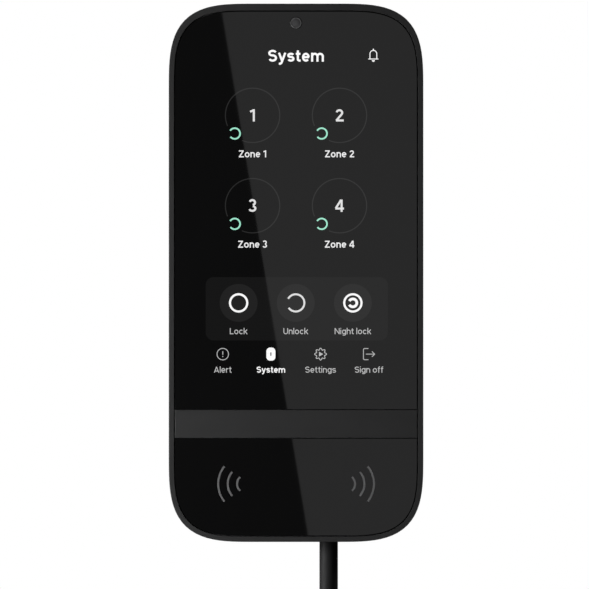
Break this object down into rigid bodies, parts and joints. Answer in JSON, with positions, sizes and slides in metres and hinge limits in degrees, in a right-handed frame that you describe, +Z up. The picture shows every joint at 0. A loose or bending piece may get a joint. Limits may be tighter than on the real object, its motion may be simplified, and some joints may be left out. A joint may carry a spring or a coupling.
{
  "type": "alarm keypad panel",
  "caption": "Wall-hung alarm keypad with a glass touch display, card reader area and satin light band, on a bracket, with its supply lead.",
  "frame": {"origin": "centre of the wall bracket's back face, on the wall", "axes": "+Z up, +X to the right for someone who faces the keypad, +Y into the wall; the glass faces -Y"},
  "size_m": [0.0964, 0.022, 0.3582],
  "materials": {
    "bracket_plastic": "moulded, fine texture",
    "case_plastic": "moulded, fine texture",
    "frame_plastic": "satin",
    "cover_glass": "polished, printed black behind",
    "satin_band": "satin",
    "black_tape": "matte",
    "clear_bond": "clear",
    "sensor_window": "smoked, smooth",
    "clear_plastic": "frosted",
    "chip_tan": "matte",
    "lcd_black": "dark glass",
    "white_plastic": "matte",
    "tray_steel": "tin plated",
    "flex_amber": "polyimide film",
    "board_green": "solder mask",
    "board_white": "solder mask",
    "chip_black": "moulded epoxy",
    "socket_ivory": "moulded",
    "copper": "bare copper",
    "led_resin": "clear resin",
    "cell_sleeve": "printed sleeve",
    "contact_nickel": "nickel plated",
    "screw_steel": "zinc plated",
    "terminal_green": "moulded",
    "cable_rubber": "satin jacket",
    "wire_sleeve": "smooth",
    "button_white": "moulded",
    "button_dark": "moulded",
    "label_paper": "blank film label",
    "tie_fabric": "woven hook-and-loop"
  },
  "bodies": {
    "wall_mount": {"wall_bracket": "bracket_plastic"},
    "holding_screw": {"holding_screw": "screw_steel"},
    "tamper_button": {"tamper_button": "button_white"},
    "power_button": {"power_button": "button_dark"},
    "keypad": {"rear_housing": "case_plastic", "front_frame": "frame_plastic", "display_glass": "cover_glass", "reader_glass": "cover_glass", "indicator_strip": "satin_band", "glass_tape": "black_tape", "optical_bond": "clear_bond", "sensor_lens": "sensor_window", "light_pipe": "clear_plastic", "light_sensor": "chip_tan", "lcd_panel": "lcd_black", "lcd_backlight": "white_plastic", "lcd_tray": "tray_steel", "display_flex": "flex_amber", "touch_flex": "flex_amber", "main_board": "board_green", "board_screws": "screw_steel", "board_chips": "chip_black", "shield_cans": "tray_steel", "board_sockets": "socket_ivory", "rf_antenna": "copper", "buzzer": "chip_black", "reader_board": "board_green", "reader_coil": "copper", "light_guide": "clear_plastic", "led_board": "board_white", "leds": "led_resin", "battery_cell_left": "cell_sleeve", "battery_cell_right": "cell_sleeve", "battery_contacts": "contact_nickel", "battery_spring": "contact_nickel", "service_door": "case_plastic", "door_screws": "screw_steel", "power_board": "board_green", "power_parts": "chip_black", "terminal_block": "terminal_green", "terminal_screws": "screw_steel", "cable_grommet": "cable_rubber", "cable_clamp": "case_plastic", "clamp_screws": "screw_steel", "cable_entry": "cable_rubber", "supply_wires": "wire_sleeve", "link_wires": "wire_sleeve", "case_screws": "screw_steel", "tamper_spring": "contact_nickel", "tamper_switch": "chip_black", "power_switch": "chip_black", "rating_label": "label_paper", "supply_cable": "cable_rubber", "cable_hank": "cable_rubber", "cable_tail": "cable_rubber", "hank_tie": "tie_fabric", "dc_plug_body": "cable_rubber", "dc_plug_barrel": "contact_nickel"}
  },
  "joints": [
    {"name": "keypad_slide", "type": "slide", "parent": "wall_mount", "child": "keypad", "axis": [0, 0, 1], "range_m": [0, 0.007]},
    {"name": "holding_screw_out", "type": "slide", "parent": "wall_mount", "child": "holding_screw", "axis": [0, 0, -1], "range_m": [0, 0.0072]},
    {"name": "tamper_press", "type": "slide", "parent": "keypad", "child": "tamper_button", "axis": [0, -1, 0], "range_m": [0, 0.001], "stiffness_N_per_m": 400, "deforming": ["tamper_spring"]},
    {"name": "power_press", "type": "slide", "parent": "keypad", "child": "power_button", "axis": [0, -1, 0], "range_m": [0, 0.0005], "stiffness_N_per_m": 800}
  ]
}
